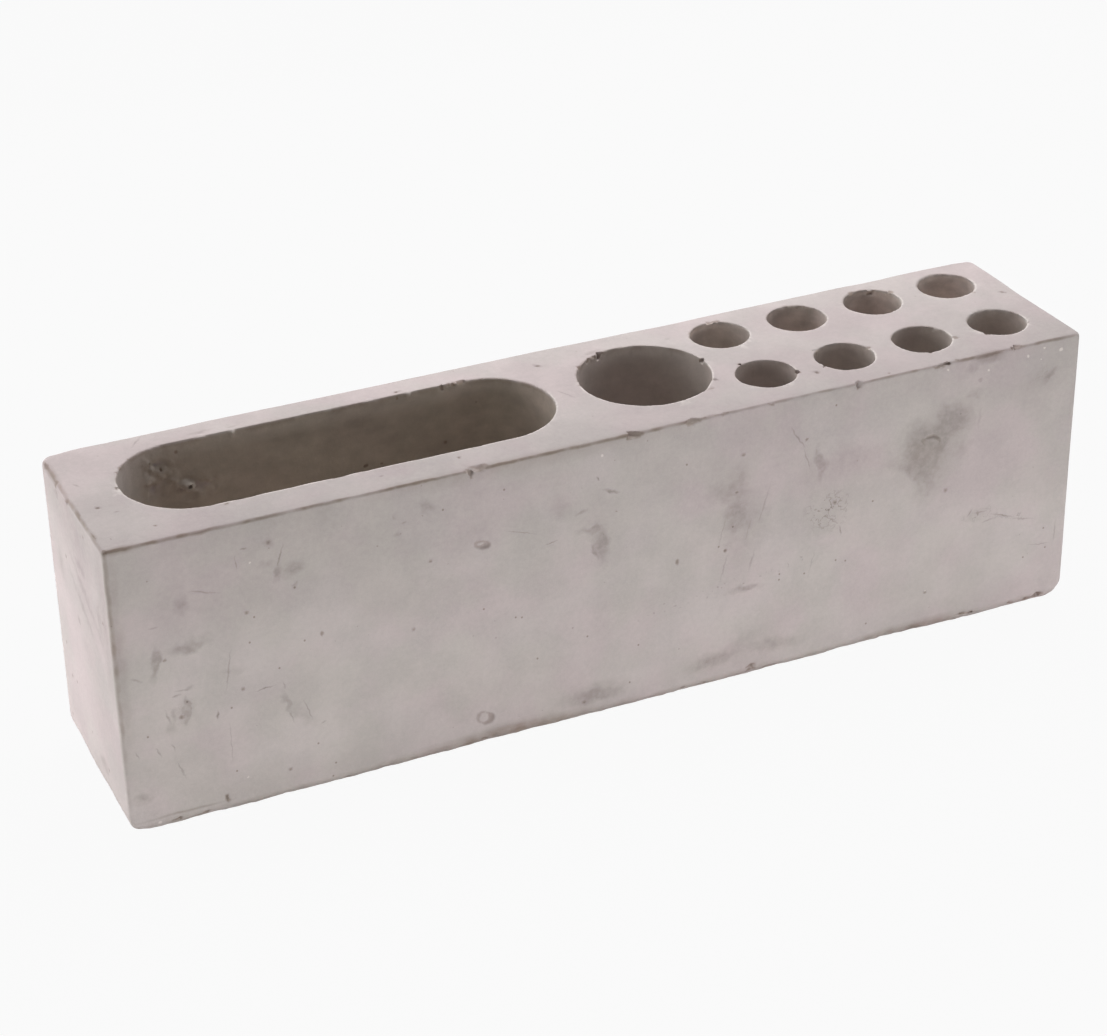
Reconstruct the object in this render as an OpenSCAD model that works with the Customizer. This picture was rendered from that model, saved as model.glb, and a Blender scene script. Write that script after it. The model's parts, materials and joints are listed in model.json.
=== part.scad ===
// Cast concrete desk organiser: one solid block that stands on four felt pads.
// From left to right its top holds a long slot with round ends, one wide round well,
// and two rows of narrow wells for pens. Every hollow is blind.
//
// Millimetres. +X runs along the block to the right, +Y to the back, +Z up.
// The origin is under the middle of the block, on the surface that the pads stand on.

/* [Block] */
// Length of the block, left to right
block_l = 300; // [296:1:340]
// Width of the block, front to back
block_w = 60; // [56:1:80]
// Height of the concrete, without the pads
block_h = 90; // [80:1:130]
// Radius of the upright corners
corner_r = 2.5; // [1:0.5:5]
// Radius of the edges around the top face
top_r = 1; // [0.5:0.5:2.5]
// Radius of the edges around the underside, which is the open side of the mould
base_r = 4; // [2:0.5:8]

/* [Hollows] */
// Depth of the slot and of every well
hollow_depth = 70; // [40:1:75]
// How far the hollows' centre line lies behind the block's own
hollow_back = 2; // [0:0.5:3]
// Radius where a hollow's wall meets its floor
floor_r = 3; // [1:0.5:4]
// Radius of the lip around each hollow
lip_r = 0.6; // [0.4:0.1:1.5]

/* [Slot] */
// Length of the slot, over its round ends
slot_l = 127; // [60:1:130]
// Width of the slot
slot_w = 39; // [20:1:42]
// Concrete between the block's left end and the slot
slot_margin = 14.5; // [12:0.5:20]

/* [Round well] */
// Diameter of the wide round well
well_d = 39; // [30:1:42]
// Concrete between the slot and the wide well
well_gap = 10.5; // [8:0.5:14]

/* [Pen wells] */
// Diameter of a pen well
pen_d = 17.5; // [10:0.5:19]
// Distance from the wide well's axis to the first column of pen wells
pen_start = 32; // [30:1:34]
// Distance between columns
pen_pitch = 26; // [22:0.5:27]
// Distance between the front and back rows
pen_row_gap = 29; // [24:0.5:30]
// Columns of pen wells
pen_columns = 4; // [1:1:4]

/* [Foot pads] */
// Diameter of a felt pad
pad_d = 16; // [10:1:20]
// Thickness of a felt pad
pad_h = 2; // [1:0.5:4]
// Rounding of a pad's lower edge
pad_r = 0.5; // [0.2:0.1:0.8]
// Distance from the block's ends to a pad's centre
pad_end = 20; // [16:1:40]
// Distance from the block's front and back to a pad's centre
pad_side = 16; // [15:1:20]

/* [Hidden] */
$fn = 96;
concrete = [0.70, 0.66, 0.65];
felt = [0.25, 0.24, 0.23];
// How far a cut runs on past the face that it opens
over = 1;
top_z = pad_h + block_h;
slot_x = -block_l / 2 + slot_margin + slot_l / 2;
well_x = slot_x + slot_l / 2 + well_gap + well_d / 2;
pen_x = [for (column = [0 : pen_columns - 1]) well_x + pen_start + column * pen_pitch];
pen_y = [for (row = [-1, 1]) hollow_back + row * pen_row_gap / 2];
pad_x = block_l / 2 - pad_end;
pad_y = block_w / 2 - pad_side;

// Upright outline of the block: a width by its height, with tighter corners at the top.
module side_outline(width) {
    half = width / 2;
    translate([-half + base_r, 0])
        square([width - 2 * base_r, block_h]);
    translate([-half, base_r])
        square([width, block_h - base_r - top_r]);
    translate([-half + top_r, block_h / 2])
        square([width - 2 * top_r, block_h / 2]);
    for (side = [-1, 1]) {
        translate([side * (half - base_r), base_r])
            circle(r = base_r);
        translate([side * (half - top_r), block_h - top_r])
            circle(r = top_r);
    }
}

// Outline of the block seen from above.
module plan_outline() {
    square([block_l, block_w - 2 * corner_r], center = true);
    square([block_l - 2 * corner_r, block_w], center = true);
    for (x = [-1, 1], y = [-1, 1])
        translate([x * (block_l / 2 - corner_r), y * (block_w / 2 - corner_r)])
            circle(r = corner_r);
}

// The solid block with all its edges rounded, before anything is hollowed out.
module blank() {
    translate([0, 0, pad_h])
        intersection() {
            linear_extrude(block_h)
                plan_outline();
            rotate([90, 0, 0])
                linear_extrude(block_w, center = true)
                    side_outline(block_l);
            rotate([90, 0, 90])
                linear_extrude(block_l, center = true)
                    side_outline(block_w);
        }
}

// Half of a hollow's upright section: x is the distance from its axis, y the height.
module hollow_section(radius) {
    difference() {
        union() {
            square([radius - floor_r, hollow_depth]);
            translate([0, floor_r])
                square([radius, hollow_depth - floor_r + over]);
            intersection() {
                square([radius, floor_r + over]);
                translate([radius - floor_r, floor_r])
                    circle(r = floor_r);
            }
            translate([0, hollow_depth - lip_r])
                square([radius + lip_r, lip_r + over]);
        }
        translate([radius + lip_r, hollow_depth - lip_r])
            circle(r = lip_r);
    }
}

// A round blind well of the given diameter.
module well(diameter) {
    rotate_extrude()
        hollow_section(diameter / 2);
}

// The slot: half a round well at each end, and straight walls between them.
module slot() {
    reach = (slot_l - slot_w) / 2;
    for (side = [-1, 1])
        translate([side * reach, 0, 0])
            well(slot_w);
    for (turn = [0, 180])
        rotate([90, 0, 90 + turn])
            linear_extrude(2 * reach, center = true)
                hollow_section(slot_w / 2);
}

module concrete_block() {
    color(concrete)
        difference() {
            blank();
            translate([0, 0, top_z - hollow_depth]) {
                translate([slot_x, hollow_back, 0])
                    slot();
                translate([well_x, hollow_back, 0])
                    well(well_d);
                for (x = pen_x, y = pen_y)
                    translate([x, y, 0])
                        well(pen_d);
            }
        }
}

// A self-adhesive felt disc, its lower edge slightly rounded; x and y are -1 or 1.
module foot_pad(x, y) {
    color(felt)
        translate([x * pad_x, y * pad_y, 0])
            rotate_extrude()
                union() {
                    square([pad_d / 2 - pad_r, pad_h]);
                    translate([0, pad_r])
                        square([pad_d / 2, pad_h - pad_r]);
                    intersection() {
                        square([pad_d / 2, pad_h]);
                        translate([pad_d / 2 - pad_r, pad_r])
                            circle(r = pad_r);
                    }
                }
}

module foot_pad_front_left() foot_pad(-1, -1);
module foot_pad_front_right() foot_pad(1, -1);
module foot_pad_rear_left() foot_pad(-1, 1);
module foot_pad_rear_right() foot_pad(1, 1);

concrete_block();
foot_pad_front_left();
foot_pad_front_right();
foot_pad_rear_left();
foot_pad_rear_right();
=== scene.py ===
"""The looks of the cast concrete pen holder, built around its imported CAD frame.

The block is cut out of a field of distances in millimetres, so that its air holes, chipped lips,
ragged lower edge and grout runs are real shape. Its colour comes from nodes that work in the same
millimetres. Faces are named as the frame has them: front is -Y, left is -X, top is +Z.
"""
import itertools
import json
import math

import bpy
import numpy as np
from mathutils import Matrix, Vector


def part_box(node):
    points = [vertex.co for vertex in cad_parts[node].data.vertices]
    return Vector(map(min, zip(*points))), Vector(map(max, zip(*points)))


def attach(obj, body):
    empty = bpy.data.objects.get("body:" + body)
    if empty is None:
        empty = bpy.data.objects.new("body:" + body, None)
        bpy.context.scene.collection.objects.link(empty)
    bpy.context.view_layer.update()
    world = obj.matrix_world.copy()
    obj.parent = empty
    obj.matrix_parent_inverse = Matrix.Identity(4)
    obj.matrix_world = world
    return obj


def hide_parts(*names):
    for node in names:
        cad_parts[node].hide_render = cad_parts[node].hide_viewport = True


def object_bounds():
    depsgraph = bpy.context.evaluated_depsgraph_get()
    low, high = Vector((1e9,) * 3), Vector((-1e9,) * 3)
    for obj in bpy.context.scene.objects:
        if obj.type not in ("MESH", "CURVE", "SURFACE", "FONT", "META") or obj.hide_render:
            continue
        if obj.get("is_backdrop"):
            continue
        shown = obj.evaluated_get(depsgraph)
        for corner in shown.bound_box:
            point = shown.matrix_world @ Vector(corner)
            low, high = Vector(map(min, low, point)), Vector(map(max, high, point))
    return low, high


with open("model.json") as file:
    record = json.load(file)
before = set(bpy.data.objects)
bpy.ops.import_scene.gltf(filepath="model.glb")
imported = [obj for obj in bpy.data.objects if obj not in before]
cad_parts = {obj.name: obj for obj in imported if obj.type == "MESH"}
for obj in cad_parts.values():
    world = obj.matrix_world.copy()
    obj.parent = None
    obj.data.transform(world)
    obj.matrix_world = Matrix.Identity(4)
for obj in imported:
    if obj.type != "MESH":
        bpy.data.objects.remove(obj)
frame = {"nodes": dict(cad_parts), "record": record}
cad_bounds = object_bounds()

# ---- Sizes in millimetres ----------------------------------------------------------------------
MM = 0.001
low, high = [tuple(value / MM for value in corner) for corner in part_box("concrete_block")]
BASE_Z, TOP_Z = low[2], high[2]
HALF_LENGTH = (high[0] - low[0]) / 2
HALF_WIDTH = (high[1] - low[1]) / 2
FRONT_Y, BACK_Y = low[1], high[1]
LEFT_X, RIGHT_X = low[0], high[0]

SLOT_LENGTH = 127
SLOT_WIDTH = 39
WELL_DIAMETER = 39
PEN_DIAMETER = 17.5
HOLLOW_DEPTH = 70
FLOOR_RADIUS = 3
LIP_RADIUS = 0.4
CORNER_RADIUS = 2.5
TOP_RADIUS = 1
BASE_RADIUS = 4
END_RADIUS = 6.5          # of the lower edges at the two ends

CELL = 0.5                # side of a cell of the distance field
BLOCK_TRIANGLES = 185000  # what the block's mesh is thinned to


def opening_centre(name):
    """Where a hollow's axis stands, from the openings that the record states."""
    boxes = {item["name"]: item["box_m"] for item in frame["record"]["physics"]["openings"]}
    corners = np.array(boxes[name]) / MM
    return (corners[0, :2] + corners[1, :2]) / 2


# Every hollow as its axis, half the straight part of its walls, and its radius
PEN_WELLS = [f"pen_well_{row}_{column}" for row in ("front", "rear") for column in (1, 2, 3, 4)]
HOLLOWS = [(opening_centre("slot_middle"), (SLOT_LENGTH - SLOT_WIDTH) / 2, SLOT_WIDTH / 2)]
HOLLOWS += [(opening_centre("round_well"), 0, WELL_DIAMETER / 2)]
HOLLOWS += [(opening_centre(name), 0, PEN_DIAMETER / 2) for name in PEN_WELLS]


# ---- Noise and rounding ------------------------------------------------------------------------
def random_at(x, y, z, seed):
    """A repeatable random number from -1 to 1 for every whole-number point."""
    mixed = np.uint32(seed * 2654435761 % 2**32)
    for whole, prime in zip((x, y, z), (73856093, 19349663, 83492791)):
        mixed = mixed ^ (whole.astype(np.uint32) * np.uint32(prime))
    mixed = (mixed ^ (mixed >> np.uint32(13))) * np.uint32(1274126177)
    mixed = mixed ^ (mixed >> np.uint32(16))
    return (mixed & np.uint32(0xFFFF)).astype(np.float32) / 32767.5 - 1


def noise(x, y, z, size, seed):
    """Smooth noise from -1 to 1 whose blobs are about size millimetres across."""
    wholes, parts = [], []
    for value in (x, y, z):
        scaled = np.asarray(value, np.float32) / size
        whole = np.floor(scaled)
        part = scaled - whole
        wholes.append(whole.astype(np.int64))
        parts.append(part * part * (3 - 2 * part))
    total = 0
    for corner in itertools.product((0, 1), repeat=3):
        weight = 1
        for part, far in zip(parts, corner):
            weight = weight * (part if far else 1 - part)
        total = total + weight * random_at(*(w + far for w, far in zip(wholes, corner)), seed)
    return total


def rough(x, y, z, size, seed):
    """Three layers of noise, each half as large as the one before."""
    return sum(noise(x, y, z, size / 2**step, seed + step) / 2**step for step in range(3)) / 1.75


def smooth_step(value, start, end):
    part = np.clip((value - start) / (end - start), 0, 1)
    return part * part * (3 - 2 * part)


def round_max(a, b, radius):
    """Where two distances meet, the edge is rounded to the radius."""
    return np.minimum(np.maximum(a, b), -radius) + np.hypot(
        np.maximum(a + radius, 0), np.maximum(b + radius, 0))


def round_min(a, b, radius):
    return -round_max(-a, -b, radius)


# ---- The field of distances --------------------------------------------------------------------
class Field:
    """Distances to the block's surface on a regular grid; inside the concrete they are negative."""

    def __init__(self, low, high):
        margin = 3.3 * CELL   # empty space round the block
        self.axes = [np.arange(a - margin, b + margin + CELL, CELL, dtype=np.float32)
                     for a, b in zip(low, high)]
        self.values = self.block()
        for centre, straight, radius in HOLLOWS:
            self.hollow(centre, straight, radius)

    def window(self, centre, reach):
        """The part of the grid within reach of a point, and its coordinates."""
        cuts = tuple(slice(*np.searchsorted(axis, (c - r, c + r)))
                     for axis, c, r in zip(self.axes, centre, reach))
        return cuts, np.ix_(*(axis[cut] for axis, cut in zip(self.axes, cuts)))

    def block(self):
        """The plain block. Its back left and right top edges are worn and its front left edge is sharp."""
        x, y, z = np.ix_(*self.axes)
        # How far a place is towards each end and side, from 0 to 1
        left = smooth_step(-x, HALF_LENGTH - 12, HALF_LENGTH - 2)
        right = smooth_step(x, HALF_LENGTH - 8, HALF_LENGTH - 1)
        back, front = smooth_step(y, 2, 22), smooth_step(-y, 15, 22)
        corner_radius = CORNER_RADIUS + 0.8 * left * back - 1.4 * left * front - 0.5 * (1 - left) * front
        top_radius = TOP_RADIUS + 0.9 * left * back + 0.25 * noise(x, y, 0 * x, 14, 3)
        top_radius += 0.7 * right - 0.5 * (1 - left) * back
        past_end, past_side, below = np.abs(x) - HALF_LENGTH, np.abs(y) - HALF_WIDTH, BASE_Z - z
        end_radius = END_RADIUS + 1.5 * left * back
        outline = round_max(past_end, below, end_radius)
        base_radius = BASE_RADIUS + 0.5 * noise(x, y, 0 * x, 30, 4) - 0.8 * smooth_step(x, 90, 105)
        lowness = smooth_step(below - past_end, -4, 4)
        side = round_max(outline, past_side, corner_radius + (base_radius - corner_radius) * lowness)
        return round_max(side, z - TOP_Z, top_radius)

    def hollow(self, centre, straight, radius):
        """A blind hollow with a rounded floor. Its lip is uneven and its wall has run marks."""
        middle = (BASE_Z + TOP_Z) / 2
        reach = (straight + radius + 3, radius + 3, TOP_Z)
        cuts, (x, y, z) = self.window((*centre, middle), reach)
        flat = np.hypot(np.maximum(np.abs(x - centre[0]) - straight, 0), y - centre[1]) - radius
        near_lip = smooth_step(z, TOP_Z - 3, TOP_Z)
        wall = flat - 0.16 * near_lip * noise(x, y, 0 * z, 4, 11) - 0.07 * noise(x, y, z / 8, 3, 12)
        inside = round_max(wall, TOP_Z - HOLLOW_DEPTH - z, FLOOR_RADIUS)
        lip = LIP_RADIUS * (1 + 0.5 * noise(x, y, 0 * x, 5, 13))
        self.values[cuts] = round_max(self.values[cuts], -inside, lip)

    def cut(self, centre, reach, shape):
        cuts, places = self.window(centre, reach)
        self.values[cuts] = np.maximum(self.values[cuts], -shape(*places))

    def join(self, centre, reach, shape, blend):
        cuts, places = self.window(centre, reach)
        self.values[cuts] = round_min(self.values[cuts], shape(*places), blend)

    def roughen(self, centre, reach, amount, size, seed):
        """Makes the skin uneven within reach of a point."""
        cuts, places = self.window(centre, reach)
        away = np.sqrt(sum(((value - c) / r) ** 2 for value, c, r in zip(places, centre, reach)))
        self.values[cuts] += amount * rough(*places, size, seed) * (1 - smooth_step(away, 0.4, 1))

    def mesh(self):
        """Vertices and quads of the surface, by the surface net method."""
        values, inside = self.values, self.values < 0
        count = np.zeros([n - 1 for n in values.shape], np.uint8)
        for corner in itertools.product((0, 1), repeat=3):
            count += inside[tuple(slice(c, c + n) for c, n in zip(corner, count.shape))]
        cells = np.argwhere((count > 0) & (count < 8))
        number = np.full(count.shape, -1, np.int64)
        number[tuple(cells.T)] = np.arange(len(cells))
        total, crossings = np.zeros((len(cells), 3)), np.zeros(len(cells))
        for axis, (u, v) in enumerate(((1, 2), (2, 0), (0, 1))):
            for corner_u, corner_v in itertools.product((0, 1), repeat=2):
                start = cells.copy()
                start[:, u] += corner_u
                start[:, v] += corner_v
                end = start.copy()
                end[:, axis] += 1
                a, b = values[tuple(start.T)], values[tuple(end.T)]
                crossed = (a < 0) != (b < 0)
                point = (start - cells)[crossed].astype(float)
                point[:, axis] = a[crossed] / (a[crossed] - b[crossed])
                total[crossed] += point
                crossings[crossed] += 1
        origin = np.array([axis[0] for axis in self.axes])
        points = origin + CELL * (cells + total / crossings[:, None])
        quads = []
        for axis, (u, v) in enumerate(((1, 2), (2, 0), (0, 1))):
            first = np.moveaxis(inside, (axis, u, v), (0, 1, 2))
            cell = np.moveaxis(number, (axis, u, v), (0, 1, 2))
            i, j, k = np.nonzero(first[:-1, 1:-1, 1:-1] != first[1:, 1:-1, 1:-1])
            j, k = j + 1, k + 1
            ring = np.stack([cell[i, j - 1, k - 1], cell[i, j, k - 1],
                             cell[i, j, k], cell[i, j - 1, k]], 1)
            leaving = first[i, j, k]
            quads += [ring[leaving], ring[~leaving][:, ::-1]]
        return points, np.concatenate(quads)


# ---- Shapes that are cut from the block or grown on it -----------------------------------------
def hole(centre, size, seed=1):
    """An air hole or a lump: an ellipsoid with an uneven skin."""
    least = min(size)

    def shape(x, y, z):
        parts = [((value - c) / s) ** 2 for value, c, s in zip((x, y, z), centre, size)]
        uneven = 0.2 * noise(x, y, z, 1.2 * least + 0.3, seed)
        return (np.sqrt(sum(parts)) - 1 + uneven) * least
    return shape


def chip(centre, size, seed):
    """A place where concrete has broken away: flat facets with a grainy skin."""
    draws = np.random.default_rng(seed)
    planes = draws.normal(size=(10, 3))
    planes /= np.linalg.norm(planes, axis=1)[:, None]
    reaches = draws.uniform(0.6, 1, 10)

    def shape(x, y, z):
        place = [(value - c) / s for value, c, s in zip((x, y, z), centre, size)]
        facets = [sum(n * p for n, p in zip(plane, place)) / reach
                  for plane, reach in zip(planes, reaches)]
        grain = 0.15 * noise(x, y, z, 0.9, seed)
        return (np.maximum.reduce(facets) - 1) * min(size) + grain
    return shape


def run(points, seed):
    """A crinkled ridge of grout along a line of points, each a place and half its thickness."""
    def shape(x, y, z):
        nearest = 99
        for (start, thick), (end, _) in zip(points, points[1:]):
            step = np.subtract(end, start)
            offsets = [value - s for value, s in zip((x, y, z), start)]
            part = sum(offset * d for offset, d in zip(offsets, step)) / step.dot(step)
            part = np.clip(part, 0, 1)
            away = np.sqrt(sum((offset - part * d) ** 2 for offset, d in zip(offsets, step)))
            nearest = np.minimum(nearest, away - thick)
        return nearest + 0.5 * noise(x, y, z, 1.2, seed)
    return shape


def ring(centre, half_size, turn, deep, thin, thick):
    """A groove round an ellipse on the front face, thickest towards the angle deep. Angles in degrees."""
    cosine, sine = math.cos(math.radians(turn)), math.sin(math.radians(turn))

    def shape(x, y, z):
        u = ((x - centre[0]) * cosine + (z - centre[1]) * sine) / half_size[0]
        v = ((z - centre[1]) * cosine - (x - centre[0]) * sine) / half_size[1]
        off_ring = (np.hypot(u, v) - 1) * sum(half_size) / 2 + 0.25 * noise(x, 0 * y, z, 1.5, 9)
        towards = (1 + np.cos(np.arctan2(v, u) - math.radians(deep))) / 2
        return np.hypot(off_ring, y - FRONT_Y) - thin - (thick - thin) * towards**2
    return shape


# Chips as centre and half size. Front top edge, left to right:
CHIPS = [
    ((-149.2, -29.7, 92.3), (1.2, 1.0, 0.8)), ((-122, -30.1, 92.2), (0.8, 0.6, 0.7)),
    ((-82, -30.1, 92.2), (0.7, 0.6, 0.7)), ((-46.5, -30, 91.6), (1.0, 1.3, 1.9)),
    ((-44.4, -29.8, 92.3), (4.0, 2.2, 1.6)), ((3.7, -30.1, 91.7), (2.6, 1.3, 1.7)),
    ((21.2, -30, 92), (3.2, 1.5, 1.4)), ((25.7, -30.1, 92.2), (2.4, 1.1, 1.0)),
    ((31, -30, 92.4), (1.1, 1.2, 0.8)), ((45.5, -30.2, 92.2), (1.1, 0.7, 0.9)),
    ((74.6, -29.9, 92), (1.8, 1.6, 1.8)), ((101, -30.3, 92), (2.7, 1.0, 1.3)),
    ((107.8, -30.2, 92.2), (1.4, 0.9, 0.8)), ((118.5, -30.3, 92), (3.2, 0.9, 1.1)),
    ((126, -29.8, 92.4), (0.8, 1.0, 0.9)), ((128, -29.8, 92.4), (1.2, 1.3, 1.0)),
]
# Left top edge, front to back
CHIPS += [
    ((-150.2, -21, 92.2), (0.7, 1.0, 0.7)), ((-150.2, -8, 92.1), (0.7, 1.8, 0.8)),
    ((-150.2, 2, 92.1), (0.7, 1.2, 0.8)), ((-150.4, 14, 91.8), (0.9, 2.2, 1.4)),
    ((-150.2, 24, 91.8), (1.2, 2.4, 1.2)),
]
# Lips of the slot, the wide well and the pen wells
CHIPS += [
    ((-135.8, 2.4, 92.3), (0.6, 0.9, 0.8)), ((-112.5, -18.7, 92.4), (1.4, 0.6, 0.5)),
    ((-42, -17.8, 92.3), (0.8, 0.5, 0.6)), ((-33.8, 21.6, 91.9), (0.6, 0.5, 0.9)),
    ((-31.6, 21.6, 91.8), (0.5, 0.5, 0.8)), ((-29.9, 21.6, 92), (0.6, 0.6, 0.8)),
    ((-28.3, 21.7, 92), (0.8, 0.7, 0.9)), ((-26.7, 21.6, 91.8), (0.5, 0.6, 0.9)),
    ((16, 21, 91.8), (1.1, 0.9, 1.1)), ((13.6, 20.1, 91.9), (0.8, 0.6, 0.9)),
    ((11.5, 18.8, 92), (0.6, 0.6, 0.8)), ((6.8, 14.8, 91.9), (0.7, 0.7, 0.8)),
    ((33.5, -14, 92.3), (2.0, 0.8, 0.8)), ((38.4, -9, 92.2), (0.8, 1.3, 0.9)),
    ((41.1, 4, 92.2), (0.5, 1.1, 0.8)), ((56, 25.2, 92.2), (1.2, 0.8, 0.7)),
    ((85, 23.2, 91.9), (0.8, 0.7, 0.9)), ((103, 25, 92.1), (1.1, 0.9, 0.8)),
    ((110, 23.6, 91.9), (0.9, 0.7, 0.9)), ((114.4, 20, 92.2), (0.5, 0.9, 0.7)),
    ((49.4, -3.9, 92.1), (0.6, 0.5, 0.6)), ((62.2, -15.8, 92.2), (0.6, 1.4, 0.8)),
    ((74.1, -5.3, 92), (0.5, 0.5, 0.6)), ((88.1, -11, 92.1), (0.6, 0.7, 0.7)),
    ((114.2, -15.3, 92.2), (0.7, 0.6, 0.7)), ((103, -21.5, 92.2), (1.1, 0.8, 0.8)),
    ((124.6, -17.5, 92.2), (1.0, 0.9, 0.8)),
]
# Lower front edge
CHIPS += [
    ((-122, -30.1, 7.2), (0.5, 0.5, 1.3)), ((41.5, -29.9, 5.6), (1.2, 0.9, 1.1)),
    ((141, -29.6, 4.6), (1.6, 1.2, 0.8)),
]

# Air holes on the front face as x, z, half width and half height
FRONT_HOLES = [
    (-136, 55.7, 0.45, 0.3), (-132.9, 36.9, 0.38, 0.45), (-115.2, 41, 0.3, 0.3), (-112.5, 64.3, 0.3, 0.3),
    (-105, 84, 0.3, 0.3), (-103.3, 11.3, 0.3, 0.34), (-91.8, 52.4, 0.38, 0.68), (-65, 46.5, 0.3, 0.38),
    (-59.2, 66.7, 0.45, 0.3), (-13.5, 8.2, 0.3, 0.3), (16.4, 47.5, 0.38, 0.75), (31.9, 47.4, 0.45, 0.45),
    (35.4, 65.6, 0.38, 0.3), (37.2, 77.2, 0.38, 0.3), (57.8, 77.5, 0.38, 0.34), (67.7, 54.6, 0.38, 0.38),
    (100.3, 15.8, 0.38, 0.3), (105.5, 49.6, 0.3, 0.26),
]
# Air holes on the top face as x, y, half length and half width
TOP_HOLES = [
    (-144, -6.2, 0.38, 0.3), (-133, -22, 0.3, 0.3), (-46.4, -21.6, 0.3, 0.45), (-47.1, 23.3, 0.3, 0.45),
    (-3.7, 20.7, 0.52, 0.3), (66.9, -18.5, 0.3, 0.52), (85.3, -28, 0.3, 0.3), (144.6, 5.1, 0.3, 0.38),
]
# Air holes in the slot's far wall as x, z, half width and half height
SLOT_HOLES = [
    (-121.8, 87.2, 0.34, 0.59), (-118.5, 84.3, 0.34, 0.59), (-113.6, 88.8, 0.34, 0.34),
    (-58, 71.4, 0.59, 0.34), (-53.1, 71.1, 0.34, 0.34), (-47.4, 91, 0.34, 0.42),
    (-33.1, 73.4, 0.34, 0.34),
]
# Beads of grout under the slot's far lip, as centre and half size
LUMPS = [
    ((-111, 21, 77.9), (2.3, 1.9, 2.0)), ((-97, 21.4, 91), (0.6, 0.6, 1.1)),
    ((-106, 21.8, 91.7), (1.4, 0.6, 0.5)), ((-56, 21.8, 91.9), (0.9, 0.6, 0.4)),
    ((-44, 21.5, 91.3), (0.6, 0.6, 0.8)),
]
LARGEST_LUMP_HOLE = ((-110.9, 19.6, 78.2), (0.5, 0.9, 0.55))
# Grout that ran down the slot's far wall, as lines of x, z and half thickness
RUNS = [
    [(-123.6, 89.6, 0.3), (-122, 88, 0.6), (-121, 85.6, 0.2), (-119.4, 84.4, 0.7), (-118, 82, 0.2)],
    [(-117, 81.4, 0.3), (-115, 80.6, 0.6), (-113.6, 78.4, 0.3), (-112, 76.6, 0.5), (-108.4, 75.6, 0.2)],
]
# Grooves round an ellipse on the front face, in the terms of ring()
RINGS = [
    ((-44, 68.3), (1.8, 0.9), -15, -30, 0.3, 1.0), ((-44.7, 11.8), (2.4, 1.7), -20, -10, 0.12, 0.75),
    ((99, 65.2), (3.9, 3.7), 0, 70, -0.5, 0.5),
]
# Rough skin: centre, reach, how deep, and the size of the lumps
ROUGH_PLACES = [
    ((-119, 20.5, 83), (8, 6, 10), 1.3, 2.4), ((-108, 21.5, 76), (9, 5, 7), 1.2, 2.4),
    ((-30, 21.5, 92), (6, 3, 3), 0.5, 1.4), ((13, 19.5, 92), (7, 4, 4), 0.45, 1.4),
    ((56, 25, 92), (7, 2.5, 2.5), 0.4, 1.2), ((81, 25, 92), (7, 2.5, 2.5), 0.4, 1.2),
    ((108, 25, 92), (7, 2.5, 2.5), 0.45, 1.2), ((131, 25, 92), (6, 2.5, 2.5), 0.4, 1.2),
    ((79, -4, 92), (6, 2.5, 2.5), 0.45, 1.2), ((131, -4, 92), (7, 2.5, 2.5), 0.4, 1.2),
    ((112, -8, 92), (4, 5, 2.5), 0.4, 1.2),
]


def slot_wall(x):
    """How far back the slot's far wall is."""
    centre, straight, radius = HOLLOWS[0]
    bend = max(centre[0] - straight - x, 0)
    return centre[1] + math.sqrt(radius**2 - bend**2)


BASE_CHIPS = 90
BACK_HOLES = 34


def scattered_chips():
    """Small breaks along the hollows' lips and the block's own lower edges."""
    draws = np.random.default_rng(5)
    found = []
    for _ in range(BASE_CHIPS):
        along = draws.uniform(-1, 1)
        size = draws.uniform(0.4, 1.0) * np.array([draws.uniform(1, 2.4), 0.8, 0.7])
        side = draws.choice((-1, 1))
        if draws.random() < 0.7:
            place = (along * HALF_LENGTH, side * (HALF_WIDTH - 0.5), BASE_Z + draws.uniform(0, 3))
        else:
            place = (side * (HALF_LENGTH - 0.5), along * HALF_WIDTH, BASE_Z + draws.uniform(0, 3))
            size = size[[1, 0, 2]]
        found.append((place, tuple(size)))
    for centre, straight, radius in HOLLOWS:
        for _ in range(round(radius / 3)):
            angle = draws.uniform(0, 2 * math.pi)
            x = centre[0] + math.copysign(straight, math.cos(angle)) + radius * math.cos(angle)
            size = draws.uniform(0.25, 0.4, 3)
            found.append(((x, centre[1] + radius * math.sin(angle), TOP_Z), tuple(size)))
    return found


def scattered_holes():
    """Air holes on the faces that the listed ones don't cover: back, right, left and base."""
    draws = np.random.default_rng(8)
    found = []
    for _ in range(BACK_HOLES):
        size = draws.uniform(0.35, 0.5) * draws.uniform(1, 1.8) * np.array([1, 1, draws.uniform(0.8, 1.3)])
        x, y = draws.uniform(-0.96, 0.96) * HALF_LENGTH, draws.uniform(-0.9, 0.9) * HALF_WIDTH
        z = draws.uniform(BASE_Z + 5, TOP_Z - 4)
        found.append(((x, BACK_Y, z), tuple(size)))
        if len(found) % 3 == 0:
            found.append(((RIGHT_X, y, z), tuple(0.9 * size)))
        if len(found) % 4 == 0:
            found.append(((LEFT_X, -y, z), tuple(0.5 * size)))
        found.append(((x, y, BASE_Z), tuple(1.3 * size)))
    return found


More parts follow.
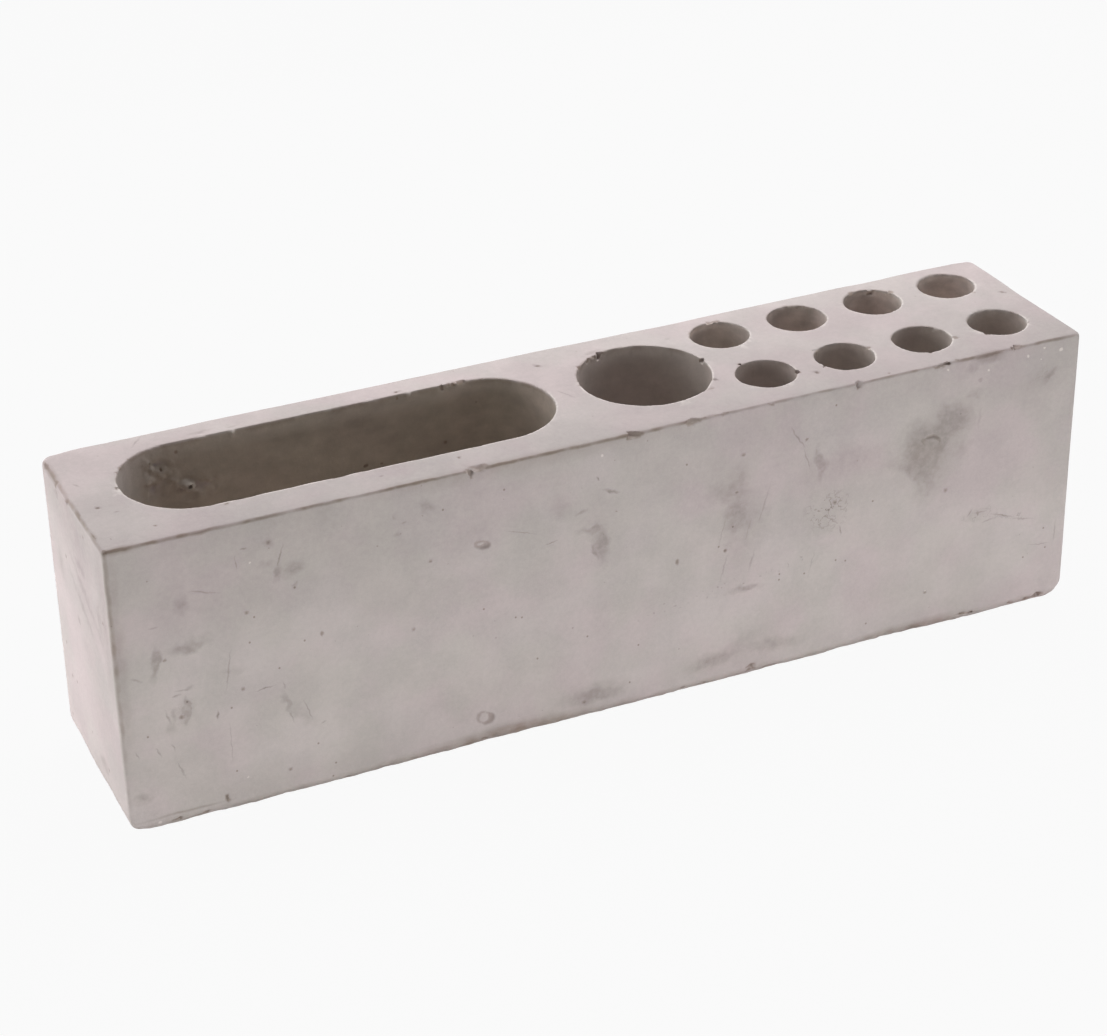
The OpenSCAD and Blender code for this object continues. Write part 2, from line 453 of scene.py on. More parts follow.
def all_features():
    """Everything cut or joined, as kind, centre, reach and shape."""
    found = []
    for seed, (centre, size) in enumerate(CHIPS + scattered_chips(), 20):
        found.append(("chip", centre, size, chip(centre, size, seed)))
    holes = [((x, FRONT_Y, z), (w, 0.9 * w, h)) for x, z, w, h in FRONT_HOLES]
    holes += [((x, y, TOP_Z), (w, h, 0.9 * h)) for x, y, w, h in TOP_HOLES]
    for x, z, w, h in SLOT_HOLES:
        holes.append(((x, slot_wall(x), z), (w, w, h)))
    for seed, (centre, size) in enumerate(holes + scattered_holes(), 400):
        found.append(("hole", centre, size, hole(centre, size, seed)))
    for seed, (centre, size) in enumerate(LUMPS, 700):
        found.append(("lump", centre, size, hole(centre, size, seed)))
    for seed, line in enumerate(RUNS, 750):
        points = [((x, slot_wall(x) + 0.1, z), thick) for x, z, thick in line]
        places = np.array([place for place, _ in points])
        reach = (places.max(axis=0) - places.min(axis=0)) / 2 + 1
        found.append(("lump", places.min(axis=0) + reach - 1, reach, run(points, seed)))
    found.append(("hole", *LARGEST_LUMP_HOLE, hole(*LARGEST_LUMP_HOLE, 800)))
    for centre, half_size, turn, deep, thin, thick in RINGS:
        reach = (half_size[0] + 1, 1.2, half_size[0] + 1)
        place = (centre[0], FRONT_Y, centre[1])
        found.append(("ring", place, reach, ring(centre, half_size, turn, deep, thin, thick)))
    return found


# ---- The block's mesh --------------------------------------------------------------------------
def new_object(name, points, faces):
    """A mesh object from points in millimetres and faces that all have the same number of corners."""
    mesh = bpy.data.meshes.new(name)
    mesh.vertices.add(len(points))
    mesh.vertices.foreach_set("co", (np.asarray(points) * MM).astype(np.float32).ravel())
    sides = faces.shape[1]
    mesh.loops.add(faces.size)
    mesh.loops.foreach_set("vertex_index", faces.astype(np.int32).ravel())
    mesh.polygons.add(len(faces))
    mesh.polygons.foreach_set("loop_start", np.arange(0, faces.size, sides, dtype=np.int32))
    mesh.update(calc_edges=True)
    mesh.validate()
    piece = bpy.data.objects.new(name, mesh)
    bpy.context.scene.collection.objects.link(piece)
    return piece


def vertex_places(mesh):
    """The vertices of a mesh in millimetres, as three arrays."""
    flat = np.empty(len(mesh.vertices) * 3, np.float32)
    mesh.vertices.foreach_get("co", flat)
    return (flat.reshape(-1, 3) / MM).T


def vertex_normals(points, quads):
    """Normals that point out of the concrete, weighted by the area of the faces."""
    across = points[quads[:, 2]] - points[quads[:, 0]]
    down = points[quads[:, 3]] - points[quads[:, 1]]
    face = np.cross(across, down)
    normals = np.zeros_like(points)
    for corner in range(4):
        for axis in range(3):
            normals[:, axis] += np.bincount(quads[:, corner], face[:, axis], len(points))
    return normals / np.maximum(np.linalg.norm(normals, axis=1)[:, None], 1e-9)


RIGHT_SKEW = 1.4         # how much further in the right end is at its back edge, mm


def uneven(points, normals):
    """Moves the surface a little: wide waves, small lumps, a rougher base, and a right end askew."""
    x, y, z = points.T
    wave = 0.16 * noise(x, y, z, 45, 50) + 0.05 * noise(x, y, z, 13, 51) + 0.025 * noise(x, y, z, 4, 52)
    low_edge = 1 - smooth_step(z, BASE_Z + 2, BASE_Z + 7)
    jagged = low_edge * (0.3 * rough(x, y, z, 6, 53) + 0.12 * noise(x, y, z, 1.8, 56))
    moved = points + normals * (wave + jagged)[:, None]
    moved[:, 2] = np.maximum(moved[:, 2], BASE_Z - 0.5)
    right = smooth_step(x, RIGHT_X - 9, RIGHT_X) * smooth_step(y, FRONT_Y, BACK_Y)
    moved[:, 0] -= RIGHT_SKEW * right
    return moved


def thin(piece, triangles):
    """Replaces a dense mesh by one of about the given number of triangles."""
    modifier = piece.modifiers.new("Thin", "DECIMATE")
    modifier.ratio = triangles / (2 * len(piece.data.polygons))
    modifier.use_collapse_triangulate = True
    finish_modifiers(piece)


def finish_modifiers(piece):
    """Bakes the modifiers of a piece into its mesh."""
    evaluated = piece.evaluated_get(bpy.context.evaluated_depsgraph_get())
    mesh = bpy.data.meshes.new_from_object(evaluated)
    piece.modifiers.clear()
    old, piece.data = piece.data, mesh
    bpy.data.meshes.remove(old)
    mesh.name = piece.name


def add_attribute(mesh, name, values):
    layer = mesh.attributes.new(name, "FLOAT", "POINT")
    layer.data.foreach_set("value", np.asarray(values, np.float32))


def lips(x, y, z):
    """How much each vertex is on the far side of a hollow's lip, where brown dirt and painted shade go,
    and on its near side, where a highlight is painted.
    """
    far, near = np.zeros(len(x)), np.zeros(len(x))
    for centre, straight, radius in HOLLOWS:
        flat = np.hypot(np.maximum(np.abs(x - centre[0]) - straight, 0), y - centre[1]) - radius
        behind = smooth_step((y - centre[1]) / radius, -0.2, 0.5)
        far = np.maximum(far, behind * (1 - smooth_step(np.abs(flat + 0.1), 0.2, 0.9)))
        near = np.maximum(near, (1 - behind) * (1 - smooth_step(np.abs(flat - 0.3), 0.1, 0.5)))
    far *= smooth_step(z, TOP_Z - 1.8, TOP_Z - 0.4)
    near *= z > TOP_Z - 0.6
    return {"far_lip": far, "near_lip": near}


def well_painted_light(x, centre, radius):
    """How much paler a round hollow's wall is painted than the slot's, as painted light. The rear row is
    the paler one.
    """
    if radius > PEN_DIAMETER / 2:
        return 0.1 + 0.5 * smooth_step((centre[0] - x) / radius, 0.3, 0.9)
    return 0.15 + 0.6 * (centre[1] > 0) + 0.003 * centre[0]


def paint(mesh, features):
    """Per-vertex facts for the material: in a hollow, on its lip, in a hole, where broken or grouted. The
    hollow and well facts carry painted light and shade.
    """
    x, y, z = vertex_places(mesh)
    hollow, well = np.zeros(len(x)), np.zeros(len(x))
    below_lip = smooth_step(TOP_Z - z, 0.1, 0.7) * (z > TOP_Z - HOLLOW_DEPTH - 1)
    for centre, straight, radius in HOLLOWS:
        flat = np.hypot(np.maximum(np.abs(x - centre[0]) - straight, 0), y - centre[1]) - radius
        inside = smooth_step(-flat, -0.7, -0.2) * below_lip
        # The hollow fact is weaker on the slot's left end, where light falls in: it carries painted shade.
        shaded = 1 - 0.7 * smooth_step(centre[0] - straight - x, 0, radius)
        hollow = np.maximum(hollow, inside * (shaded if straight else 0.5))
        if not straight:
            # The well fact says how much paler each well's wall is painted: painted light.
            well = np.maximum(well, inside * well_painted_light(x, centre, radius))
    facts = {"hollow": hollow, "well": well, **lips(x, y, z)}
    for kind, fact in (("chip", "broken"), ("hole", "hole"), ("lump", "grout"), ("ring", "ring")):
        values = facts[fact] = np.zeros(len(x))
        for _, centre, reach, shape in (item for item in features if item[0] == kind):
            near = np.ones(len(x), bool)
            for value, c, r in zip((x, y, z), centre, reach):
                near &= np.abs(value - c) < 1.3 * r + 0.6
            found = 1 - smooth_step(shape(x[near], y[near], z[near]), -0.02, 0.25)
            values[near] = np.maximum(values[near], found)
    for fact, values in facts.items():
        add_attribute(mesh, fact, values)


def choose_materials(mesh):
    """The front and top faces have marks of their own, so each of them has its own material."""
    centres = np.empty(len(mesh.polygons) * 3, np.float32)
    mesh.polygons.foreach_get("center", centres)
    x, y, z = (centres.reshape(-1, 3) / MM).T
    slots = np.full(len(x), 2, np.int32)
    slots[z > TOP_Z - 1.5] = 1
    slots[(y < FRONT_Y + 1.5) & (z < TOP_Z - 0.5)] = 0
    mesh.polygons.foreach_set("material_index", slots)


def make_block(materials):
    features = all_features()
    field = Field(low, high)
    for kind, centre, reach, shape in features:
        wide = [1.3 * r + 0.8 for r in reach]
        if kind == "lump":
            field.join(centre, wide, shape, 0.6)
    for seed, (centre, reach, deep, size) in enumerate(ROUGH_PLACES, 60):
        field.roughen(centre, reach, deep, size, seed)
    for kind, centre, reach, shape in features:
        wide = [1.3 * r + 0.8 for r in reach]
        if kind != "lump":
            field.cut(centre, wide, shape)
    points, quads = field.mesh()
    points = uneven(points, vertex_normals(points, quads))
    block = new_object("cast_block", points, quads)
    thin(block, BLOCK_TRIANGLES)
    paint(block.data, features)
    for material in materials:
        block.data.materials.append(material)
    choose_materials(block.data)
    block.data.shade_smooth()
    block.data.set_sharp_from_angle(angle=math.radians(42))
    modifier = block.modifiers.new("Even shading", "WEIGHTED_NORMAL")
    modifier.keep_sharp = True
    finish_modifiers(block)
    return block


# ---- Marks that are only colour ----------------------------------------------------------------
# Soft smudges on the front face: x, z, half length, half width, degrees from level, darkness. The broad
# faint one over the upper left darkens it as painted shade.
FRONT_SMUDGES_AND_SHADE = [
    (-146, 14, 3.2, 2.8, 0, 0.27), (-139, 55, 7.2, 1.9, 81, 0.39), (-138.5, 57, 3.4, 2.3, 60, 0.31),
    (-136, 34, 2.9, 2, 90, 0.16), (-134.7, 38, 2.9, 0.9, 88, 0.31), (-131.2, 38.5, 4.9, 1.2, 88, 0.62),
    (-130, 57.8, 5.8, 2.6, 0, 0.35), (-130.5, 71.5, 4.2, 2.3, 90, 0.2), (-118, 47.5, 4.2, 1.8, 0, 0.16),
    (-106, 78, 2.2, 2, 0, 0.16), (-105, 84, 1.9, 1.8, 0, 0.2), (-103.3, 74.5, 3.1, 1.4, 73, 0.31),
    (-99, 74.5, 4.6, 2.8, 20, 0.27), (-98.6, 69, 1.8, 0.9, 60, 0.31), (-102.8, 33.5, 4, 1.2, 108, 0.39),
    (-99, 28.5, 8.2, 2.6, 128, 0.17), (-68.5, 77.5, 1.9, 1.5, 0, 0.16), (-68.5, 83, 1.5, 1.1, 90, 0.23),
    (-59.5, 84, 3.2, 2.4, -20, 0.31), (-20, 74.5, 5.8, 3.8, 120, 0.14), (-11, 64.7, 5.8, 1.5, -2, 0.35),
    (-9.3, 57, 4.4, 0.9, 98, 0.23), (-7.8, 59.5, 8.5, 3.1, 101, 0.33), (-6.3, 61, 3.5, 2.2, 120, 0.23),
    (-10, 10.5, 13.8, 3.9, 3, 0.27), (-8, 9, 8.8, 2.8, -5, 0.2), (30, 67, 5.8, 4.7, 0, 0.16),
    (34.5, 62, 10.6, 5.1, 77, 0.13), (34.5, 57, 10, 3.8, 77, 0.11), (36, 70, 6.2, 4.7, 75, 0.16),
    (38.5, 33, 7.9, 1.6, -3, 0.33), (40.8, 32.8, 3, 1.4, -5, 0.23), (62.2, 68.5, 7.9, 1.6, 97, 0.33),
    (63.3, 68, 3.2, 2.4, 100, 0.23), (65, 52, 10, 9.5, 0, 0.09), (98, 63.5, 11, 9.5, 110, 0.28),
    (97.5, 65, 7, 7, 0, 0.34), (107.5, 72, 8, 6.8, -20, 0.27), (94.5, 72, 5.8, 5.4, 0, 0.2),
    (94.5, 58, 5.4, 2.6, -40, 0.25), (99, 52.5, 7.9, 6.1, 80, 0.14), (104, 75, 5.8, 4.6, 0, 0.16),
    (110, 63, 4.4, 4.1, 0, 0.16), (77, 66.5, 21.2, 7.4, -8, 0.11), (90, 61, 8.8, 3.2, -25, 0.16),
    (113.5, 79.8, 3.6, 2.4, -10, 0.27), (112, 88.3, 2.4, 1.8, 0, 0.23), (118, 90.5, 7.5, 2, 0, 0.27),
    (116, 71, 4.4, 0.9, 80, 0.2), (117, 39, 6.5, 2.6, 0, 0.17), (30, 11.5, 12.5, 3.5, 12, 0.23),
    (26, 11, 8.8, 3.1, 0, 0.16), (49, 11.5, 11.2, 3.1, -8, 0.25), (39, 16, 7.5, 2.6, 10, 0.12),
    (139.5, 80.3, 4.2, 1.4, 45, 0.27), (136, 80, 8.8, 4.1, 20, 0.12), (-148, 60, 32.5, 1.8, 90, 0.09),
    (99, 60, 18.8, 12.2, 100, 0.1), (34, 58, 18.8, 8.1, 78, 0.09), (60, 68, 11.2, 5.4, 95, 0.09),
    (107, 72, 11, 6.5, 35, 0.17), (102, 67, 8, 6, 45, 0.18), (-95, 86, 88, 42, 0, 0.08),
    (39, 54, 15, 8, 75, 0.15), (-131.5, 38, 5.5, 3.2, 88, 0.22), (-127, 59, 6, 3, 0, 0.15),
]
# Thin scratches and hairlines on the front face, in the same terms
FRONT_SCRATCHES = [
    (-146, 28, 1.8, 0.3, 110, 0.3), (-144.2, 51.5, 2.2, 0.5, -25, 0.35), (-140, 27.5, 2, 0.3, 110, 0.35),
    (-138.5, 66.3, 1.7, 0.5, -10, 0.35), (-136.5, 37.5, 3.4, 0.5, 105, 0.4),
    (-136, 28, 1.8, 0.35, 110, 0.35), (-134.2, 20, 3.6, 0.35, 112, 0.4), (-134, 44, 1.7, 0.4, 0, 0.5),
    (-132, 45.3, 2.8, 0.4, -10, 0.35), (-130, 45.5, 1.4, 0.7, 20, 0.3),
    (-124, 73.8, 6.4, 0.45, -17, 0.35), (-122.8, 35, 1.8, 0.45, 85, 0.6), (-122, 7.6, 1.7, 0.5, 78, 0.6),
    (-119.6, 25, 7.6, 0.3, 90, 0.3), (-118.8, 48, 7.4, 0.4, 80, 0.4), (-114.5, 80, 3.5, 0.28, 92, 0.4),
    (-112, 84, 1.2, 0.4, 0, 0.45), (-109, 39.5, 3.8, 0.3, 5, 0.5), (-103.5, 39, 1.5, 0.4, 100, 0.4),
    (-102.3, 78.5, 6.6, 0.4, 73, 0.45), (-102, 28.5, 3.9, 0.3, 110, 0.35), (-97, 29, 5, 0.3, 108, 0.4),
    (-92.8, 24, 1.4, 0.4, 20, 0.4), (-66.5, 80.8, 1.1, 0.5, 10, 0.3), (-32, 69, 6, 0.25, -20, 0.4),
    (-23, 63.6, 2.5, 0.3, 8, 0.4), (-13.5, 71, 2.8, 0.6, 20, 0.3), (-4.5, 75.6, 3.2, 0.65, -22, 0.6),
    (-8.4, 80.4, 1.1, 0.35, -50, 0.6), (40, 55, 10, 0.59, 74, 0.17), (39, 52, 13, 0.52, 74, 0.14),
    (43.2, 56, 13, 0.52, 73, 0.15), (44.5, 60, 6.6, 0.45, 73, 0.14), (31, 55, 10, 0.4, 77, 0.28),
    (31.5, 42, 5.5, 0.4, 75, 0.3), (40.5, 42, 4.4, 0.5, 75, 0.3), (41.7, 5.6, 1.2, 0.8, 60, 0.5),
    (55, 78.5, 5.6, 0.35, -58, 0.5), (58.2, 70.5, 5.6, 0.35, -72, 0.45), (61, 73, 1.4, 0.35, 100, 0.5),
    (60.5, 36, 5.6, 0.3, 75, 0.2), (69.9, 45, 1.8, 0.35, 100, 0.5), (114.5, 39.8, 2, 0.4, 50, 0.45),
    (118, 39.2, 3.9, 0.4, 0, 0.45), (121.5, 35.6, 3.4, 0.4, 5, 0.35), (126, 36.2, 5.6, 0.4, -20, 0.45),
    (133.5, 33.3, 5, 0.35, -14, 0.42), (140, 22.8, 4.5, 0.3, -6, 0.4), (145.6, 26, 4.5, 0.4, 88, 0.3),
    (97, 68.6, 2.4, 0.35, 22, 0.5), (101.8, 68, 2.2, 0.35, -35, 0.5), (103, 64.5, 2.6, 0.35, 80, 0.4),
    (96, 62.5, 2.4, 0.3, 110, 0.3), (115.4, 84, 1, 0.8, 0, 0.4),
]
# Pinholes in the front face: x, z. They are only painted dark, as shade.
PINHOLES = [
    (-142.7, 33.3), (-131, 41.3), (-118.8, 36), (-110.5, 62.5), (-112.3, 55), (-104.5, 44.8),
    (-96.8, 51.5), (-98.6, 68.6), (-91, 5.5), (-90, 9.7), (-94.8, 17.5), (-55, 81.8), (-43.9, 47.5),
    (-36.8, 83.7), (-34.3, 42.3), (-32.4, 41.8), (-27.9, 27), (-12.2, 30.2), (1.2, 11), (4, 23),
    (19.2, 78.4), (29.7, 49.2), (34.2, 54.7), (49.8, 33.1), (49.9, 35), (58.2, 33.1), (67.1, 86.4),
    (80.5, 52), (134.8, 19.4), (141.5, 28), (142.6, 21), (-118.7, 15.3), (68.7, 35), (72, 34), (80, 10.2),
]
# Wrinkled skin on the front face, in the terms of the smudges. Its creases are only painted dark, as
# shade.
WRINKLES = [
    (65.5, 52.5, 9, 9.5, 70, 2.2), (118, 38.5, 7, 2.6, 0, 2.0), (129, 35, 9, 1.6, -16, 1.4),
    (137, 81, 6, 3, 20, 0.9), (-133, 38, 4, 5, 0, 0.9),
]
# Top face: x, y and the rest as above
TOP_SMUDGES = [
    (-144, -6, 1.6, 1.3, 0, 0.2), (-106, 24, 5, 1.2, 5, 0.2), (-97, 23.5, 2, 1, 0, 0.25),
    (-47, 23.3, 1.3, 1, 0, 0.35), (-4, 21, 2.2, 1.3, -35, 0.4), (38.3, 20.8, 1.4, 1, 0, 0.2),
    (66.8, -18, 1.2, 1.3, 0, 0.25), (14, 22, 3.4, 1.2, 20, 0.3), (144.6, 5, 1.4, 1.2, 0, 0.35),
]
TOP_SCRATCHES = [
    (-123.5, 26, 4, 0.5, 50, 0.3), (-145.5, 8.5, 1.7, 0.5, 110, 0.35), (-3.9, 0.4, 4.2, 0.4, -65, 0.4),
    (-4.2, 20.6, 1.2, 0.7, -40, 0.6), (-140, -10.4, 1, 0.5, 0, 0.3), (-69.5, -22.4, 0.9, 0.5, 0, 0.4),
]
# Left end: y, z and the rest as above. The broad, faint ones darken the front and the upper part of the
# end as painted shade.
LEFT_SMUDGES_AND_SHADE = [
    (14, 88, 2.4, 1.5, 0, 0.4), (17, 65, 4, 6, 0, 0.18), (-5, 75, 7, 2.4, 0, 0.2),
    (3, 54, 2, 1.6, 0, 0.28), (-20, 65, 3, 9, 0, 0.18), (-26, 68, 7, 26, 0, 0.18),
    (0, 88, 34, 16, 0, 0.16), (-8, 14, 4.5, 3.5, 0, 0.24), (-6, 68, 18, 2.4, 30, 0.2),
    (-2, 62, 16, 2, 32, 0.16), (-10, 42, 15, 38, 0, 0.07),
]
# Pale specks on the front face: x, z, half size
FRONT_SPECKS = [
    (-141.5, 5, 0.8), (-115.6, 12.4, 0.5), (-7, 87.3, 0.6), (100.3, 16.3, 0.5), (104, 89.8, 0.6),
    (118, 86.7, 0.7), (131.5, 88.4, 0.7), (137, 89.8, 0.6), (142.8, 87.9, 0.8), (136, 86.2, 0.4),
    (-110.6, 79.4, 0.4),
]
# Brown stains, most of them along edges: middle, half sizes and strength. The line along the front top
# edge and the band along the lower front edge are partly painted shade.
STAINS_AND_EDGE_SHADE = [
    ((0, FRONT_Y, TOP_Z), (700, 0.95, 0.9), 0.85), ((LEFT_X, 0, TOP_Z), (1.1, 90, 1.1), 0.4),
    ((LEFT_X, 19, TOP_Z), (1.8, 11, 2.2), 0.4), ((-145, FRONT_Y, TOP_Z), (7, 2, 2.0), 0.5),
    ((118, FRONT_Y, TOP_Z), (7, 2, 2.4), 0.5), ((0, BACK_Y, TOP_Z), (700, 0.6, 0.7), 0.4),
    ((RIGHT_X, 0, TOP_Z), (1.4, 90, 1.4), 0.5), ((LEFT_X + 0.7, FRONT_Y + 0.5, 78), (0.9, 0.9, 80), 0.4),
    ((LEFT_X + 1, FRONT_Y, 60), (4, 1.5, 45), 0.15), ((-30, FRONT_Y, TOP_Z), (60, 3, 5), 0.2),
    ((-40, FRONT_Y + 1, BASE_Z + 3), (44, 4, 2.8), 0.4),
    ((-35, FRONT_Y, BASE_Z + 4.5), (20, 4, 2.5), 0.25),
    ((97, FRONT_Y + 1, BASE_Z + 3), (25, 4, 2.4), 0.4), ((-134, FRONT_Y, 6.5), (16, 2, 0.6), 0.35),
    ((0, FRONT_Y + 1, BASE_Z + 1.5), (400, 4, 2.4), 0.3), ((98, FRONT_Y, 64.5), (9, 3, 9), 0.14),
]


# ---- Materials ---------------------------------------------------------------------------------
class Shader:
    """A material that is built node by node. A value is a number, a colour or another socket."""

    def __init__(self, name, roughness, specular):
        self.material = bpy.data.materials.new(name)
        self.material.use_nodes = True
        self.tree = self.material.node_tree
        self.tree.nodes.clear()
        self.surface = self.tree.nodes.new("ShaderNodeBsdfPrincipled")
        self.surface.inputs["Roughness"].default_value = roughness
        self.surface.inputs["Specular IOR Level"].default_value = specular
        output = self.tree.nodes.new("ShaderNodeOutputMaterial")
        self.tree.links.new(self.surface.outputs["BSDF"], output.inputs["Surface"])
        place = self.node("TexCoord").outputs["Object"]
        self.place = self.vector("SCALE", place, scale=1 / MM)
        self.x, self.y, self.z = self.node("SeparateXYZ", (self.place,)).outputs

    def feed(self, socket, value):
        if isinstance(value, bpy.types.NodeSocket):
            self.tree.links.new(value, socket)
        else:
            socket.default_value = value

    def node(self, kind, values=(), **settings):
        node = self.tree.nodes.new(f"ShaderNode{kind}")
        for name, value in settings.items():
            setattr(node, name, value)
        for socket, value in zip(node.inputs, values):
            self.feed(socket, value)
        return node

    def math(self, operation, *values, clamp=False):
        return self.node("Math", values, operation=operation, use_clamp=clamp).outputs[0]

    def times(self, first, second, clamp=False):
        return self.math("MULTIPLY", first, second, clamp=clamp)

    def plus(self, first, second, much):
        """The first number and so much of the second."""
        return self.math("MULTIPLY_ADD", second, much, first)

    def larger(self, first, second):
        return self.math("MAXIMUM", first, second)

    def blend(self, factor, first, second):
        return self.math("MULTIPLY_ADD", factor, self.math("SUBTRACT", second, first), first)

    def vector(self, operation, *values, scale=None):
        node = self.node("VectorMath", values, operation=operation)
        if scale is not None:
            self.feed(node.inputs["Scale"], scale)
        return node.outputs[0]

    def shifted(self, *offset):
        return self.vector("ADD", self.place, offset)

    def stretched(self, *factors):
        return self.vector("MULTIPLY", self.place, factors)

    def noise(self, place, size, detail=2, output="Fac"):
        """Noise from 0 to 1, mostly 0.3 to 0.7, whose blobs are about size millimetres across."""
        node = self.node("TexNoise")
        self.feed(node.inputs["Vector"], place)
        node.inputs["Scale"].default_value = 1 / size
        node.inputs["Detail"].default_value = detail
        return node.outputs[0 if output == "Fac" else 1]

    def ramp(self, value, low, high, to_low, to_high):
        return self.node("MapRange", (value, low, high, to_low, to_high)).outputs[0]

    def remap(self, value, low, high, to_low=0, to_high=1):
        """A ramp with soft ends."""
        node = self.node("MapRange", (value, low, high, to_low, to_high))
        node.interpolation_type = "SMOOTHSTEP"
        return node.outputs[0]

    def mix(self, factor, first, second, blend="MIX"):
        node = self.node("Mix", data_type="RGBA", blend_type=blend)
        for name, value in (("Factor_Float", factor), ("A_Color", first), ("B_Color", second)):
            self.feed(next(s for s in node.inputs if s.identifier == name), value)
        return next(s for s in node.outputs if s.identifier == "Result_Color")

    def shade(self, colour, by, much=1):
        """The colour, multiplied by another as far as much says."""
        return self.mix(much, colour, by, "MULTIPLY")

    def attribute(self, name):
        return self.node("Attribute", attribute_name=name).outputs["Fac"]

    def wobbled(self, size, reach):
        """The place on the object, pushed about so that marks get ragged outlines."""
        offset = self.vector("SUBTRACT", self.noise(self.place, size, output="Color"), (0.5, 0.5, 0.5))
        return self.vector("ADD", self.place, self.vector("SCALE", offset, scale=2.6 * reach))

    def spots(self, place, spots):
        """The sum of soft ellipsoids, each a centre, half sizes, turn and strength."""
        total = 0
        for centre, half_size, turn, strength in spots:
            node = self.node("TexGradient", gradient_type="SPHERICAL")
            self.feed(node.inputs["Vector"], place)
            node.texture_mapping.vector_type = "TEXTURE"
            node.texture_mapping.translation = centre
            node.texture_mapping.rotation = [math.radians(angle) for angle in turn]
            node.texture_mapping.scale = half_size
            total = self.plus(total, node.outputs["Fac"], strength)
        return total

    def bump(self, height, reach):
        """Reach is how many millimetres of height a change of 1 stands for."""
        node = self.node("Bump")
        self.feed(node.inputs["Height"], height)
        node.inputs["Distance"].default_value = reach * MM
        node.inputs["Strength"].default_value = 1
        return node.outputs["Normal"]


# Marks on a face as spots. Depth is how far into the concrete a spot reaches.
def on_front(marks, depth=4):
    return [((x, FRONT_Y, z), (long, depth, wide), (0, -turn, 0), dark)
            for x, z, long, wide, turn, dark in marks]


def on_top(marks, depth=3):
    return [((x, y, TOP_Z), (long, wide, depth), (0, 0, turn), dark)
            for x, y, long, wide, turn, dark in marks]


def on_left(marks, depth=4):
    return [((LEFT_X, y, z), (depth, long, wide), (turn, 0, 0), dark)
            for y, z, long, wide, turn, dark in marks]


def unseen_marks(count, long, wide, dark, seed):
    """Faint marks on the back and the right end, upright or slanting as on the front."""
    draws = np.random.default_rng(seed)
    for number in range(count):
        z, turn = draws.uniform(BASE_Z + 8, TOP_Z - 8), draws.normal(75, 25)
        length, width, much = (draws.uniform(*pair) for pair in (long, wide, dark))
        if number % 4:
            x = draws.uniform(-0.92, 0.92) * HALF_LENGTH
            yield (x, BACK_Y, z), (length, 4, width), (0, turn, 0), much
        else:
            y = draws.uniform(-0.7, 0.7) * HALF_WIDTH
            yield (RIGHT_X, y, z), (4, length, width), (turn, 0, 0), much


def dotted_line():
    """Tiny marks in a wavering line that rises across the middle of the front face."""
    draws = np.random.default_rng(3)
    for along in np.linspace(0, 1, 26):
        x = 5 + 53 * along + draws.uniform(-1.2, 1.2)
        z = 32 + 6 * along + draws.uniform(-1.8, 1.8)
        yield x, z, draws.uniform(0.3, 0.7), 0.35, draws.uniform(0, 180), draws.uniform(0.1, 0.4)


# The cement's own colours, and what marks multiply them by. The hollow tint and the hole colour are
# painted shade; the smudge, stain and broken colours are partly painted shade; the speck colour also
# paints a highlight.
PALE = (0.475, 0.424, 0.413, 1)
PINK = (0.482, 0.410, 0.410, 1)
GREEN = (0.450, 0.416, 0.388, 1)
SPECK_AND_HIGHLIGHT = (0.72, 0.67, 0.63, 1)
HOLLOW_SHADE_TINT = (0.99, 0.97, 0.86, 1)
SMUDGE_AND_SHADE = (0.52, 0.495, 0.47, 1)
STAIN_AND_SHADE = (0.52, 0.46, 0.39, 1)
HOLE_SHADE = (0.60, 0.55, 0.51, 1)
BROKEN_AND_SHADE = (0.67, 0.62, 0.57, 1)


def painted_light_and_shade(s, hollow, well):
    """How pale the skin is painted as light and shade: paler low on the sides, to the left, to the back of
    the top, in the wells.
    """
    sides, top = s.ramp(s.z, TOP_Z, BASE_Z, 0.91, 1.1), s.ramp(s.y, FRONT_Y, BACK_Y, 0.86, 1.05)
    outside = s.blend(s.remap(s.z, TOP_Z - 0.9, TOP_Z - 0.1), sides, top)
    outside = s.times(outside, s.ramp(s.x, LEFT_X, RIGHT_X, 1.02, 0.96))
    return s.blend(s.remap(hollow, 0, 0.5), outside, s.plus(1, well, 0.35))


def cement(s, hollow, clouds, fine, grain, greenness):
    """Clean cement: grey with pink and greener clouds, streaks and grain, times painted light and shade,
    and browner and less pink in the hollows as painted shade.
    """
    leftward = s.remap(s.x, 90, -140)
    pink = s.remap(s.noise(s.shifted(0, 90, 0), 22, 3), 0.38, 0.62)
    # Less pink in the hollows: part of their painted shade colour.
    colour = s.mix(s.times(pink, s.plus(0.8, hollow, -0.4)), PALE, PINK)
    green = s.remap(s.noise(s.shifted(0, 0, 40), 18, 4), 0.4, 0.6, 0.1, 0.7)
    colour = s.mix(s.times(s.plus(green, leftward, 0.25), greenness), colour, GREEN)

    light = s.plus(0.757, s.remap(s.noise(s.place, 48, 3), 0.35, 0.65), 0.05)
    light = s.plus(light, s.remap(clouds, 0.36, 0.64), 0.085)
    light = s.plus(light, s.noise(s.stretched(0.12, 0.12, 1), 4, 2), 0.045)
    for layer, much in ((fine, 0.14), (grain, 0.13), (leftward, -0.02)):
        light = s.plus(light, layer, much)
    well = s.attribute("well")
    # Painted light and shade: paler low on the sides, to the left, to the back of the top and in the
    # wells.
    light = s.times(light, painted_light_and_shade(s, hollow, well))
    mottle = s.math("SUBTRACT", s.noise(s.stretched(0.6, 0.6, 1), 4, 5), 0.5)
    mottle = s.times(mottle, s.plus(hollow, well, 1.5))
    light = s.times(light, s.plus(1, mottle, 0.55))

    # Hollow walls tinted browner: painted shade colour.
    colour = s.shade(colour, HOLLOW_SHADE_TINT, hollow)
    return s.shade(colour, s.node("CombineColor", (light, light, light)).outputs[0])


